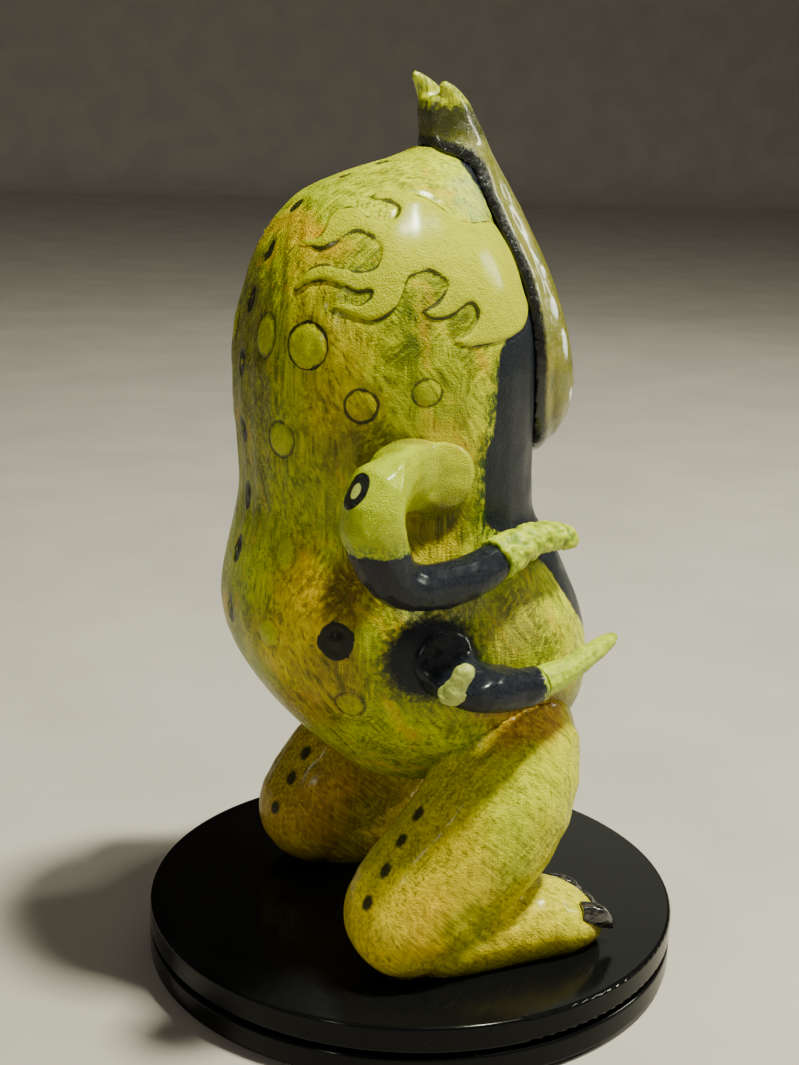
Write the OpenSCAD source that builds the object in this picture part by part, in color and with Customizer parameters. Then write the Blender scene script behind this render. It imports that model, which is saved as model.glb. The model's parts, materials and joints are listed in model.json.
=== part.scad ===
// Crouching slug creature in soft vinyl, standing on a two-disc display turntable.
// The figure faces +X, its right side is -Y, and +Z is up.
// The origin is the centre of the turntable, on the surface that it stands on.

/* [Turntable] */
// Diameter of both discs
disc_d = 120; // [110:1:140]
// Thickness of the turning upper disc
platter_t = 5.9; // [5.5:0.1:8]
// Thickness of the lower disc
base_t = 5.6; // [5.2:0.1:8]
// Gap between the two discs
disc_gap = 1.0; // [0.8:0.1:1.2]
// Height of the rubber pads under the lower disc
pad_h = 1.0; // [0.6:0.1:2]

/* [Figure] */
// Sideways place of the figure on the disc, left is positive
figure_y = -6; // [-10:1:10]
// Wall of the vinyl shells
wall = 2.4; // [2:0.1:2.8]
// Width of the line left at a glued seam
seam = 0.15; // [0.1:0.05:0.3]
// Width of the line left at the turning waist
waist_gap = 0.3; // [0.2:0.1:0.5]
// Radius of the waist plug
waist_plug_r = 15; // [12:0.5:18]

/* [Arms] */
// Radius of the plug that holds an arm in the body
arm_plug_r = 3.6; // [3:0.1:4]
// Radial play of every turning plug
plug_play = 0.06; // [0.02:0.01:0.1]
// How far the left upper arm is raised, in degrees
left_arm_raise = 50; // [0:1:55]

/* [Bearing] */
// Radius of the circle that the balls run on
track_r = 35.5; // [34:0.5:37]
// Radius of one ball
ball_r = 1.9; // [1.7:0.05:2]
// Number of balls
ball_count = 24; // [16:1:30]

/* [Hidden] */

// Levels of the turntable, and the surface that the figure stands on
base_z = pad_h;
gap_z = base_z + base_t;
platter_z = gap_z + disc_gap;
floor_z = platter_z + platter_t;

// Body sections from the bottom up: [z, back x, front x, half width]
waist_z = 98;
head_sections = [
    [waist_z, -44.2, 26, 30], [106, -42.3, 20.5, 28], [112, -41.5, 19.5, 28], [125, -42.3, 18.5, 30],
    [139, -42.6, 18, 31], [150, -41, 16, 30], [158, -38.3, 13, 28], [165, -34.5, 9.5, 24],
    [171, -29.5, 7, 18.5], [175, -20.5, 6, 13.5], [178, -11.5, 5, 8.5], [180.5, -6, 3, 3.5]];
torso_sections = [
    [45.5, -4, 10, 6], [47, -11, 16, 11], [50, -18.5, 22, 16], [55, -24, 28, 22],
    [62, -31.8, 32, 28], [70, -38.2, 34, 32], [78, -42.8, 33.5, 33.5], [85, -45, 31.8, 33],
    [91, -45.3, 29.2, 32], [waist_z, -44.2, 26, 30]];
plate_sections = [
    [117.5, 14, 21.5, 6], [119.5, 10, 24, 10], [122.5, 7, 26.2, 14], [127, 3, 28, 17],
    [133.5, 0, 28.7, 18.6], [140, 0, 27.7, 19], [148, -1.5, 25.7, 17.8], [157, -4, 22.3, 15.8],
    [164, -6, 19, 13.5], [170, -7, 15.8, 11.3], [176, -6, 12.2, 9], [181, -4.8, 9.4, 7],
    [185, -4.8, 7, 5.8], [189, -5, 4.5, 5], [190.4, -4.4, 2.8, 3.8]];
form_squareness = 2.25;
least_r = 0.3;
form_sides = 30;
cavity_sides = 20;

// Limb centrelines on the right side: [x, y, z, radius in the bend's plane, radius across it]
upper_arm_path = [
    [-15, -28, 119.5, 5.6, 5.6], [-15.6, -32.5, 119.8, 5.9, 5.9], [-20.5, -36.6, 120.5, 6.8, 6.8],
    [-27.4, -38.6, 119.2, 7.3, 7.3], [-29.6, -39.3, 113, 7, 7], [-27.8, -39.3, 106.4, 6.3, 6.3],
    [-24, -38.8, 102.2, 5.5, 5.5], [-18, -38, 100.4, 5.1, 5.1], [-9, -36.5, 100.8, 5, 5],
    [-1.5, -34, 103.2, 4.3, 4.3]];
upper_tip_path = [
    [-1.5, -34, 103.2, 3.9, 3.9], [3, -32.4, 104.6, 3.5, 3.5], [8, -30.4, 105.5, 3, 3],
    [14.5, -27.6, 105.2, 2.5, 2.5], [18.6, -25.6, 103.6, 1.9, 1.9], [20.4, -24.8, 102.6, 1, 1]];
lower_arm_path = [
    [-10.5, -31, 81.5, 5, 5], [-10.6, -35.8, 81.3, 5, 5], [-10.2, -38.2, 80.4, 4.8, 4.8],
    [-7.8, -39.6, 79.1, 4.6, 4.6], [-3, -39.5, 78, 4.3, 4.3], [3, -38.7, 77.7, 4.2, 4.2],
    [7, -37.7, 77.8, 3.9, 3.9]];
lower_tip_path = [
    [7, -37.7, 77.8, 3.4, 3.4], [10.5, -36.4, 78, 3.2, 3.2], [15, -34.8, 78.5, 2.8, 2.8],
    [23.4, -30.2, 79.7, 2.3, 2.3], [29.5, -26.8, 80.7, 1.7, 1.7], [31.6, -25.6, 81, 0.8, 0.8]];
spur_path = [
    [-12.8, -40, 79.4, 1.9, 1.9], [-14.6, -42.6, 80.2, 2, 2], [-13.8, -43.8, 82.6, 1.7, 1.7],
    [-12.5, -44.2, 85, 1.6, 1.6], [-11.9, -44.2, 86.1, 0.7, 0.7]];
shin_path = [
    [7.5, -19, 69, 10, 9], [9.6, -23.5, 59, 14.2, 12], [6, -27, 49, 16, 13.2], [-1.2, -28, 40.5, 16.2, 13.2],
    [-9, -28, 33, 15.8, 12.8], [-15.3, -28, 27, 14.4, 12.4], [-19.3, -28, 22.4, 12.4, 11.2],
    [-22, -28, 19.4, 9.6, 9.2], [-23.6, -28, 17.6, 6, 6.2], [-24.4, -28, 16.7, 2.4, 2.6]];
foot_path = [
    [-15, -27.5, 22, 8, 9.6], [-8, -27.3, 20.6, 9.6, 10.8], [3, -27, 19.6, 9.2, 10.8], [13, -27, 19.8, 8.6, 11],
    [20, -27.2, 18.6, 7.6, 10.6], [25, -27.4, 17, 5.6, 8.8], [28, -27.6, 15.8, 3.2, 6.2],
    [29.4, -27.7, 15.2, 1.2, 3]];
claw_path = [
    [21.5, 0, 22, 2.9, 2.6], [25.5, 0, 21, 2.7, 2.4], [28.6, 0, 19, 1.8, 1.6], [30.2, 0, 17.2, 0.6, 0.6]];
claw_ys = [-20.8, -27.5, -34.2];
horn_far_path = [
    [1, 2, 184, 4, 3.4], [-1.2, 2.3, 189, 3.2, 2.6], [-4, 2, 192.6, 1.9, 1.6], [-6.6, 1.4, 194.6, 0.7, 0.6]];
horn_near_path = [
    [2, -2.4, 184, 4, 3.2], [1, -2.9, 188, 3, 2.6], [-0.8, -3.5, 191, 1.8, 1.5], [-2.2, -4, 192.8, 0.7, 0.6]];
arm_sides = 14;
tip_sides = 10;
leg_sides = 20;
leg_cavity_sides = 12;
arm_reference = [-0.5, 1, -0.5];
leg_reference = [0, 1, 0];

// Sockets and plugs
upper_shoulder = [-15, -31, 119.5];
lower_shoulder = [-10.5, -34.2, 81.5];
upper_pad_r = 5.5;
lower_pad_r = 4.9;
shoulder_depth = 8;
flange_t = 1.2;
flange_lip = 1.4;
shoulder_pad_t = 3.4;
plug_root = 2;
bore_start = 5;
tip_cut_r = 8;
tip_cut_l = 5;
waist_x = -9;
waist_lip = 1.5;
waist_lip_t = 1.6;
waist_lip_gap = 0.4;
waist_plug_wall = 2.4;
waist_bore_l = 20;
pad_gap = 0.3;
hip = [7, -22.5, 54.5];
hip_tilt = -38;
hip_plug_r = 6;
hip_plug_l = 14;
leg_cap = 10;

// Bearing between the discs
pocket_depth = 2.4;
pocket_inner_r = 26;
pocket_outer_r = 40;
ring_t = 1.6;
ring_play = 0.3;
race_play = 0.04;
ball_z = gap_z + disc_gap / 2;
cage_t = 0.8;
cage_half_w = 2.8;
spindle_r = 5;
spindle_h = 4;
spindle_gap = 0.5;
screw_count = 4;
screw_circle_r = 29.5;
screw_r = 1;
screw_l = 3.8;
screw_head_r = 1.9;
screw_head_t = 0.7;
screw_hole_l = 4.8;
screw_play = 0.1;
pad_count = 4;
pad_r = 7;
pad_circle_r = 47;
pad_recess = 0.5;
edge_r = 0.8;

// How far a cut runs past a face, the size of a cutting block, and the sides of round things
cut = 1;
reach = 200;
screw_sides = 24;
small_sides = 32;
fine_sides = 48;
round_sides = 96;
disc_sides = 180;

// A curve through a list of points, with the given number of steps between neighbours
function blend(a, b, c, d, t) =
    (2 * b + (c - a) * t + (2 * a - 5 * b + 4 * c - d) * t * t + (3 * b - a - 3 * c + d) * t * t * t) / 2;
function item(list, i) = list[max(0, min(len(list) - 1, i))];
function smooth(list, steps) = [
    for (i = [0 : len(list) - 2], k = [0 : steps - 1])
        blend(item(list, i - 1), list[i], list[i + 1], item(list, i + 2), k / steps),
    list[len(list) - 1]];

// One level ring of a body form, and one ring across a limb
function signed_power(c, e) = sign(c) * pow(abs(c), e);
function section_ring(s, grow, sides) = [
    for (i = [0 : sides - 1])
        let (a = 360 * i / sides, e = 2 / form_squareness)
            [(s[1] + s[2]) / 2 + max(least_r, (s[2] - s[1]) / 2 + grow) * signed_power(cos(a), e),
             max(least_r, s[3] + grow) * signed_power(sin(a), e),
             s[0]]];
function unit(v) = v / norm(v);
function place(p) = [p[0], p[1], p[2]];
function limb_ring(path, i, reference, grow, sides) =
    let (t = unit(place(item(path, i + 1)) - place(item(path, i - 1))),
         u = unit(cross(reference, t)),
         v = cross(t, u))
    [for (k = [0 : sides - 1])
        let (a = 360 * k / sides)
            place(path[i]) + (path[i][3] + grow) * cos(a) * u + (path[i][4] + grow) * sin(a) * v];
function skin_faces(rings, sides) = concat(
    [[for (i = [0 : sides - 1]) i]],
    [for (r = [0 : rings - 2], i = [0 : sides - 1])
        [r * sides + i, (r + 1) * sides + i, (r + 1) * sides + (i + 1) % sides, r * sides + (i + 1) % sides]],
    [[for (i = [sides - 1 : -1 : 0]) (rings - 1) * sides + i]]);

// A closed skin through rings that all have the same number of points
module skin(rings) {
    polyhedron([for (r = rings) each r], skin_faces(len(rings), len(rings[0])), convexity = 6);
}

// A body form made of level sections, grown outwards by grow
module form(sections, grow = 0, sides = form_sides, steps = 2) {
    skin([for (s = smooth(sections, steps)) section_ring(s, grow, sides)]);
}

// A limb along its centreline, grown outwards by grow
module limb(path, reference, sides, grow = 0, steps = 2) {
    curve = smooth(path, steps);
    skin([for (i = [0 : len(curve) - 1]) limb_ring(curve, i, reference, grow, sides)]);
}

// Turns an organic shape into one mesh
module as_mesh() {
    resize([0, 0, 0]) children();
}

// The space above or below a level
module above(z) {
    translate([-reach / 2, -reach / 2, z]) cube(reach);
}
module below(z) {
    translate([-reach / 2, -reach / 2, z - reach]) cube(reach);
}

// The figure's own frame, and its left side as a mirror of its right side
module on_disc() {
    translate([0, figure_y, 0]) children();
}
module left_side() {
    mirror([0, 1, 0]) children();
}

// A bore or plug along an arm's turning axis, from the body's middle outwards
module shoulder_cylinder(shoulder, r, from, length) {
    translate([shoulder[0], shoulder[1] + from, shoulder[2]]) rotate([-90, 0, 0])
        cylinder(r = r, h = length, $fn = fine_sides);
}
module shoulder_bores(shoulder) {
    r = arm_plug_r + plug_play;
    shoulder_cylinder(shoulder, r, -bore_start, shoulder_depth + 2 * bore_start);
    left_side() shoulder_cylinder(shoulder, r, -bore_start, shoulder_depth + 2 * bore_start);
}
module shoulder_pads(shoulder, r) {
    shoulder_cylinder(shoulder, r, pad_gap, shoulder_pad_t);
    left_side() shoulder_cylinder(shoulder, r, pad_gap, shoulder_pad_t);
}
module shoulder_plug(shoulder) {
    shoulder_cylinder(shoulder, arm_plug_r, -plug_root, shoulder_depth + plug_root);
    shoulder_cylinder(shoulder, arm_plug_r + flange_lip, shoulder_depth - flange_t, flange_t);
}
module hip_plug(grow) {
    translate(hip) rotate([hip_tilt, 0, 0]) translate([0, 0, -hip_plug_l / 2])
        cylinder(r = hip_plug_r + grow, h = hip_plug_l, $fn = small_sides);
}

// Upper body: a hollow shell whose plug turns in the lower body's top
module waist_plug() {
    inner_r = waist_plug_r - waist_plug_wall;
    top = waist_z + waist_gap / 2 + cut;
    bottom = waist_z - waist_gap / 2 - wall - waist_lip_gap - waist_lip_t;
    translate([waist_x, 0, 0]) rotate_extrude($fn = round_sides) {
        translate([inner_r, bottom]) square([waist_plug_wall, top - bottom]);
        translate([inner_r, bottom]) square([waist_plug_wall + waist_lip, waist_lip_t]);
    }
}
module waist_bore(r) {
    translate([waist_x, 0, waist_z - waist_bore_l / 2]) cylinder(r = r, h = waist_bore_l, $fn = round_sides);
}
module head_skin() {
    as_mesh() difference() {
        form(head_sections);
        below(waist_z + waist_gap / 2);
        intersection() {
            form(head_sections, -wall, cavity_sides, 1);
            above(waist_z + waist_gap / 2 + wall);
        }
    }
}
module head_shell() {
    color("yellowgreen") on_disc() difference() {
        union() {
            head_skin();
            shoulder_pads(upper_shoulder, upper_pad_r);
            waist_plug();
        }
        waist_bore(waist_plug_r - waist_plug_wall);
        shoulder_bores(upper_shoulder);
    }
}

// Face shield with the forked horn on top of it, glued to the front of the upper body
module face_plate() {
    color("olive") on_disc() as_mesh() difference() {
        union() {
            form(plate_sections);
            limb(horn_far_path, leg_reference, tip_sides);
            limb(horn_near_path, leg_reference, tip_sides);
        }
        form(head_sections, seam);
    }
}

// Lower body: a hollow shell with sockets for the waist, two arms and two legs
module torso_skin() {
    as_mesh() difference() {
        form(torso_sections);
        above(waist_z - waist_gap / 2);
        intersection() {
            form(torso_sections, -wall, cavity_sides, 1);
            below(waist_z - waist_gap / 2 - wall);
            above(torso_sections[0][0] + wall);
        }
        hip_plug(seam);
        left_side() hip_plug(seam);
    }
}
module torso_shell() {
    color("yellowgreen") on_disc() difference() {
        union() {
            torso_skin();
            shoulder_pads(lower_shoulder, lower_pad_r);
        }
        waist_bore(waist_plug_r + plug_play);
        shoulder_bores(lower_shoulder);
    }
}

// Arms, each turning on a flanged plug, with a sculpted tip glued on
module arm(path, shoulder) {
    as_mesh() difference() {
        limb(path, arm_reference, arm_sides);
        translate([-reach / 2, shoulder[1], 0]) cube(reach);
    }
    shoulder_plug(shoulder);
}
module arm_tip(path) {
    start = place(path[0]);
    direction = unit(place(path[1]) - start);
    as_mesh() difference() {
        limb(path, arm_reference, tip_sides);
        translate(start - direction * (tip_cut_l - seam))
            rotate([0, acos(direction[2]), atan2(direction[1], direction[0])])
                cylinder(r = tip_cut_r, h = tip_cut_l, $fn = tip_sides);
    }
}
module upper_arm() {
    color("midnightblue") arm(upper_arm_path, upper_shoulder);
}
module raised_left() {
    left_side() translate(upper_shoulder) rotate([0, -left_arm_raise, 0]) translate(-upper_shoulder) children();
}
module lower_arm() {
    color("midnightblue") arm(lower_arm_path, lower_shoulder);
}
module upper_arm_tip() {
    color("greenyellow") arm_tip(upper_tip_path);
}
module lower_arm_tip() {
    color("greenyellow") arm_tip(lower_tip_path);
}
module arm_spur() {
    color("khaki") as_mesh() difference() {
        limb(spur_path, arm_reference, tip_sides);
        limb(lower_arm_path, arm_reference, arm_sides, seam);
    }
}

// Legs: hollow, flat under the foot, glued to the lower body by a plug
module leg_form(grow = 0) {
    limb(shin_path, leg_reference, leg_sides, grow);
    limb(foot_path, leg_reference, leg_sides, grow);
}
module leg() {
    color("goldenrod") as_mesh() union() {
        difference() {
            leg_form();
            below(floor_z);
            form(torso_sections, seam);
            intersection() {
                limb(shin_path, leg_reference, leg_cavity_sides, -wall, 1);
                above(floor_z + wall);
                below(hip[2] - leg_cap);
            }
        }
        hip_plug(0);
    }
}
module toe_claws() {
    color("black") as_mesh() difference() {
        for (y = claw_ys) translate([0, y, 0]) limb(claw_path, leg_reference, tip_sides);
        leg_form(seam);
    }
}

// Turntable discs
module disc_profile(z, t) {
    r = disc_d / 2;
    translate([0, z]) square([r - edge_r, t]);
    translate([0, z + edge_r]) square([r, t - 2 * edge_r]);
    translate([r - edge_r, z + edge_r]) circle(r = edge_r, $fn = small_sides);
    translate([r - edge_r, z + t - edge_r]) circle(r = edge_r, $fn = small_sides);
}
module pocket_profile(z) {
    translate([pocket_inner_r, z]) square([pocket_outer_r - pocket_inner_r, pocket_depth + cut]);
}
module ring_of(count, r) {
    for (i = [0 : count - 1]) rotate([0, 0, 360 * i / count]) translate([r, 0, 0]) children();
}
module platter() {
    color("black") difference() {
        rotate_extrude($fn = disc_sides) difference() {
            disc_profile(platter_z, platter_t);
            pocket_profile(platter_z - cut);
            translate([0, gap_z]) square([spindle_r + plug_play, spindle_h + spindle_gap]);
        }
        ring_of(screw_count, screw_circle_r) translate([0, 0, platter_z])
            cylinder(r = screw_r, h = screw_hole_l, $fn = screw_sides);
    }
}
module base_disc() {
    color("black") difference() {
        rotate_extrude($fn = disc_sides) {
            difference() {
                disc_profile(base_z, base_t);
                pocket_profile(gap_z - pocket_depth);
            }
            translate([0, gap_z - cut]) square([spindle_r, spindle_h + cut]);
        }
        ring_of(pad_count, pad_circle_r) translate([0, 0, base_z - cut])
            cylinder(r = pad_r, h = pad_recess + cut, $fn = fine_sides);
        ring_of(screw_count, screw_circle_r) translate([0, 0, gap_z - screw_hole_l])
            cylinder(r = screw_r, h = screw_hole_l, $fn = screw_sides);
    }
}

// Ball bearing between the discs
module race_ring(z) {
    difference() {
        rotate_extrude($fn = disc_sides) difference() {
            translate([pocket_inner_r + ring_play, z])
                square([pocket_outer_r - pocket_inner_r - 2 * ring_play, ring_t]);
            translate([track_r, ball_z]) circle(r = ball_r + race_play, $fn = small_sides);
        }
        ring_of(screw_count, screw_circle_r) translate([0, 0, z - cut])
            cylinder(r = screw_r + screw_play, h = ring_t + 2 * cut, $fn = screw_sides);
    }
}
module bearing_upper_ring() {
    color("silver") race_ring(platter_z + pocket_depth - ring_t);
}
module bearing_lower_ring() {
    color("silver") race_ring(gap_z - pocket_depth);
}
module bearing_balls() {
    color("silver") ring_of(ball_count, track_r) translate([0, 0, ball_z])
        sphere(r = ball_r, $fn = small_sides);
}
module ball_cage() {
    color("ivory") difference() {
        translate([0, 0, ball_z - cage_t / 2]) difference() {
            cylinder(r = track_r + cage_half_w, h = cage_t, $fn = disc_sides);
            translate([0, 0, -cut]) cylinder(r = track_r - cage_half_w, h = cage_t + 2 * cut, $fn = disc_sides);
        }
        ring_of(ball_count, track_r) translate([0, 0, ball_z - ball_r])
            cylinder(r = ball_r + plug_play, h = 2 * ball_r, $fn = small_sides);
    }
}
module screw() {
    translate([0, 0, screw_head_t - screw_l]) cylinder(r = screw_r, h = screw_l, $fn = screw_sides);
    cylinder(r = screw_head_r, h = screw_head_t, $fn = screw_sides);
}
module base_screws() {
    color("silver") ring_of(screw_count, screw_circle_r)
        translate([0, 0, gap_z - pocket_depth + ring_t]) screw();
}
module platter_screws() {
    color("silver") ring_of(screw_count, screw_circle_r)
        translate([0, 0, platter_z + pocket_depth - ring_t]) mirror([0, 0, 1]) screw();
}
module rubber_pads() {
    color("dimgray") ring_of(pad_count, pad_circle_r)
        cylinder(r = pad_r, h = pad_h + pad_recess, $fn = fine_sides);
}

head_shell();
face_plate();
torso_shell();
on_disc() upper_arm();  // upper_arm_right
on_disc() raised_left() upper_arm();  // upper_arm_left
on_disc() lower_arm();  // lower_arm_right
on_disc() left_side() lower_arm();  // lower_arm_left
on_disc() upper_arm_tip();  // upper_arm_tip_right
on_disc() raised_left() upper_arm_tip();  // upper_arm_tip_left
on_disc() lower_arm_tip();  // lower_arm_tip_right
on_disc() left_side() lower_arm_tip();  // lower_arm_tip_left
on_disc() arm_spur();  // arm_spur_right
on_disc() left_side() arm_spur();  // arm_spur_left
on_disc() leg();  // leg_right
on_disc() left_side() leg();  // leg_left
on_disc() toe_claws();  // toe_claws_right
on_disc() left_side() toe_claws();  // toe_claws_left
platter();
base_disc();
bearing_upper_ring();
bearing_lower_ring();
bearing_balls();
ball_cage();
platter_screws();
base_screws();
rubber_pads();
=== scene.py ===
import itertools
import json
import math

import bpy
import numpy as np
from mathutils import Matrix, Vector
from mathutils.bvhtree import BVHTree


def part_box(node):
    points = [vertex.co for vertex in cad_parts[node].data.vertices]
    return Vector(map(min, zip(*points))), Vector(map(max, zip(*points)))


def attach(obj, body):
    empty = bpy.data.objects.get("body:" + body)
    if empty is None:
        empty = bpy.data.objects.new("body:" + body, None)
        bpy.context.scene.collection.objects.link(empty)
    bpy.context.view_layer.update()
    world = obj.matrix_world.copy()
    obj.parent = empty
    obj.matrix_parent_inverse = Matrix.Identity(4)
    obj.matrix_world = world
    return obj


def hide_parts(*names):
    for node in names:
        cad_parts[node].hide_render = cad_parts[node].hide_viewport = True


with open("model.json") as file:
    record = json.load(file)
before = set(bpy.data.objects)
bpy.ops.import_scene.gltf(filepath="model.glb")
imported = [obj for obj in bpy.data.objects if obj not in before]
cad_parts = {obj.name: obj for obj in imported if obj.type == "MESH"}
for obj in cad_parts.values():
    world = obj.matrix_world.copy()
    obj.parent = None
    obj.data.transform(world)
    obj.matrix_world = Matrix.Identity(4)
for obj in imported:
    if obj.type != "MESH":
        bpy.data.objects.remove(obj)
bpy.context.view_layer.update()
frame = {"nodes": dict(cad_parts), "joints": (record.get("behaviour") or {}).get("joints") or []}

# The skins are worked out in millimetres in the figure's frame: x forward, y left of its middle plane, z up.
MM = 0.001
HEAD_LOW, HEAD_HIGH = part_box("head_shell")
FIGURE_Y = (HEAD_LOW.y + HEAD_HIGH.y) / 2 / MM
FIGURE_MIDDLE = np.array([0, FIGURE_Y, 0])
FLOOR_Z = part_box("platter")[1].z / MM
JOINTS = {j["name"]: j for j in frame["joints"]}


def joint_place(name):
    """A joint's centre in the figure's frame, in millimetres."""
    x, y, z = JOINTS[name]["pos_m"]
    return np.array([x / MM, y / MM - FIGURE_Y, z / MM])


UPPER_SHOULDER = joint_place("right_upper_arm_turn")
LOWER_SHOULDER = joint_place("right_lower_arm_turn")
WAIST = joint_place("waist_turn")

# Paint colours, in linear light
YELLOW = (0.5, 0.51, 0)
LIME = (0.52, 0.57, 0)
GREEN_LIME = (0.42, 0.52, 0)
OLIVE = (0.28, 0.32, 0)
DARK_GREEN = (0.05, 0.085, 0)
OCHRE = (0.56, 0.44, 0)
ORANGE = (0.76, 0.46, 0)
BROWN = (0.14, 0.075, 0.003)
CREAM = (0.36, 0.37, 0.1)
PALE = (0.48, 0.52, 0)
NAVY = (0.004, 0.006, 0.014)
SHIELD_OLIVE = (0.15, 0.145, 0.006)
OLIVE_INK = (0.02, 0.024, 0.004)
DOT_INK = (0.01, 0.012, 0.006)

# Painted distances are held to this, in millimetres, or to the second where spots compare.
FAR, SPOTS_FAR = 9.0, 30.0

# Smoothing goes in by the first share and back out by the second.
SMOOTHING = (0.5, -0.515)


# ---- numbers

def smoothstep(value, low, high):
    t = np.clip((value - low) / (high - low), 0, 1)
    return t * t * (3 - 2 * t)


def unit(vector):
    return np.array(vector) / np.linalg.norm(vector)


def on_right(points):
    """The points, mirrored to the right side where they lie on the left."""
    return np.stack([points[:, 0], -np.abs(points[:, 1]), points[:, 2]], 1)


def noise(points, size, seed):
    """Smooth noise from -1 to 1 whose lumps are about that size."""
    q = points / size + seed * 17.13
    cell = np.floor(q).astype(np.int64)
    t = q - cell
    t = t * t * (3 - 2 * t)
    total = np.zeros(len(points))
    for corner in itertools.product((0, 1), repeat=3):
        h = cell + np.array(corner)
        n = (h[:, 0] * 73856093) ^ (h[:, 1] * 19349663) ^ (h[:, 2] * 83492791)
        n = ((n ^ (n >> 13)) * 1274126177) & 0x7FFFFFFF
        n = (n ^ (n >> 15)) & 0xFFFF
        weight = np.ones(len(points))
        for k in range(3):
            weight *= t[:, k] if corner[k] else 1 - t[:, k]
        total += weight * (n / 32767.5 - 1)
    return total


def curve_through(points, steps):
    """A smooth closed curve through the points."""
    p = np.array(points, float)
    out = []
    for i in range(len(p)):
        a, b, c, d = (p[k % len(p)] for k in (i - 1, i, i + 1, i + 2))
        slope, bend, twist = c - a, 2 * a - 5 * b + 4 * c - d, 3 * b - a - 3 * c + d
        for t in np.arange(steps) / steps:
            out.append(0.5 * (2 * b + slope * t + bend * t**2 + twist * t**3))
    return np.array(out)


def distance_to_outline(flat, outline):
    """Signed distance of flat points to a closed outline, negative inside."""
    best = np.full(len(flat), 1e9)
    inside = np.zeros(len(flat), bool)
    for p, q in zip(outline, np.roll(outline, -1, 0)):
        edge = q - p
        t = np.clip(((flat - p) @ edge) / max(edge @ edge, 1e-9), 0, 1)
        gap = flat - p - t[:, None] * edge
        best = np.minimum(best, np.hypot(gap[:, 0], gap[:, 1]))
        crosses = (p[1] > flat[:, 1]) != (q[1] > flat[:, 1])
        height = q[1] - p[1] if abs(q[1] - p[1]) > 1e-9 else 1e-9
        inside ^= crosses & (flat[:, 0] < (q[0] - p[0]) * (flat[:, 1] - p[1]) / height + p[0])
    return np.where(inside, -best, best)


def gaussian_rows(grid, sigma, wrap):
    """Blurs a grid along its first axis."""
    reach = int(3 * sigma) + 1
    kernel = np.exp(-0.5 * (np.arange(-reach, reach + 1) / sigma) ** 2)
    kernel /= kernel.sum()
    padded = np.pad(grid, ((reach, reach), (0, 0)), mode="wrap" if wrap else "edge")
    return sum(w * padded[k:k + len(grid)] for k, w in enumerate(kernel))


# ---- meshes

def linked(name, data):
    """A new object in the scene."""
    thing = bpy.data.objects.new(name, data)
    bpy.context.scene.collection.objects.link(thing)
    return thing


class Skin:
    """A mesh in millimetres in the figure's frame, with paint values at its vertices."""

    def __init__(self, points, faces):
        self.points = np.asarray(points, float)
        self.faces = faces
        self.values = {}
        self.colours = {}
        self.rims = []

    def normals(self):
        total = np.zeros_like(self.points)
        for size in (3, 4):
            group = np.array([f for f in self.faces if len(f) == size], int)
            if len(group) == 0:
                continue
            p = self.points[group]
            n = np.cross(p[:, 2] - p[:, 0], p[:, -1] - p[:, 1])
            for k in range(size):
                for axis in range(3):
                    total[:, axis] += np.bincount(group[:, k], n[:, axis], len(total))
        return total / (np.linalg.norm(total, axis=1, keepdims=True) + 1e-12)

    def push(self, height):
        self.points = self.points + self.normals() * height[:, None]

    def edges(self):
        pairs = {(min(a, b), max(a, b)) for f in self.faces for a, b in zip(f, [*f[1:], f[0]])}
        return np.array(sorted(pairs), int)

    def smooth(self, rounds):
        """Evens the surface out without shrinking it."""
        e = self.edges()
        count = np.maximum(np.bincount(e.ravel(), minlength=len(self.points)), 1)
        for _ in range(rounds):
            for amount in SMOOTHING:
                total = np.zeros_like(self.points)
                for axis in range(3):
                    total[:, axis] = np.bincount(e[:, 0], self.points[e[:, 1], axis], len(total))
                    total[:, axis] += np.bincount(e[:, 1], self.points[e[:, 0], axis], len(total))
                self.points = self.points + (total / count[:, None] - self.points) * amount

    def build(self, name, material, body, replaces, slot):
        mesh = bpy.data.meshes.new(name)
        place = (self.points + FIGURE_MIDDLE) * MM
        mesh.from_pydata(place.tolist(), [], [list(map(int, f)) for f in self.faces])
        mesh.shade_smooth()
        self.sharpen_rims(mesh)
        for key, value in self.values.items():
            mesh.attributes.new(key, "FLOAT", "POINT").data.foreach_set("value", value.astype(np.float32))
        for key, value in self.colours.items():
            rgba = np.ones((len(value), 4), np.float32)
            rgba[:, :3] = value
            mesh.attributes.new(key, "FLOAT_COLOR", "POINT").data.foreach_set("color", rgba.ravel())
        mesh.materials.append(material)
        piece = linked(name, mesh)
        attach(piece, body)
        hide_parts(*replaces)

    def sharpen_rims(self, mesh):
        """Keeps the shading of a side and its end cap apart."""
        rim_of = np.full(len(self.points), -1)
        for k, rim in enumerate(self.rims):
            rim_of[list(rim)] = k
        for edge in mesh.edges if self.rims else ():
            a, b = rim_of[list(edge.vertices)]
            edge.use_edge_sharp = bool(a >= 0 and a == b)


def shells(points, faces):
    """Every connected shell of a mesh, in the order of each one's first point."""
    lowest = np.arange(len(points))
    links = np.array([f[:2] for f in faces] + [f[1:3] for f in faces] + [[f[-1], f[0]] for f in faces])
    settled = False
    while not settled:
        before = lowest.copy()
        low = np.minimum(lowest[links[:, 0]], lowest[links[:, 1]])
        np.minimum.at(lowest, links[:, 0], low)
        np.minimum.at(lowest, links[:, 1], low)
        lowest = lowest[lowest]
        settled = (lowest == before).all()
    out = []
    for first in np.unique(lowest):
        keep = lowest == first
        index = np.cumsum(keep) - 1
        out.append((points[keep], [[int(index[i]) for i in f] for f in faces if keep[f[0]]]))
    return out


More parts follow.
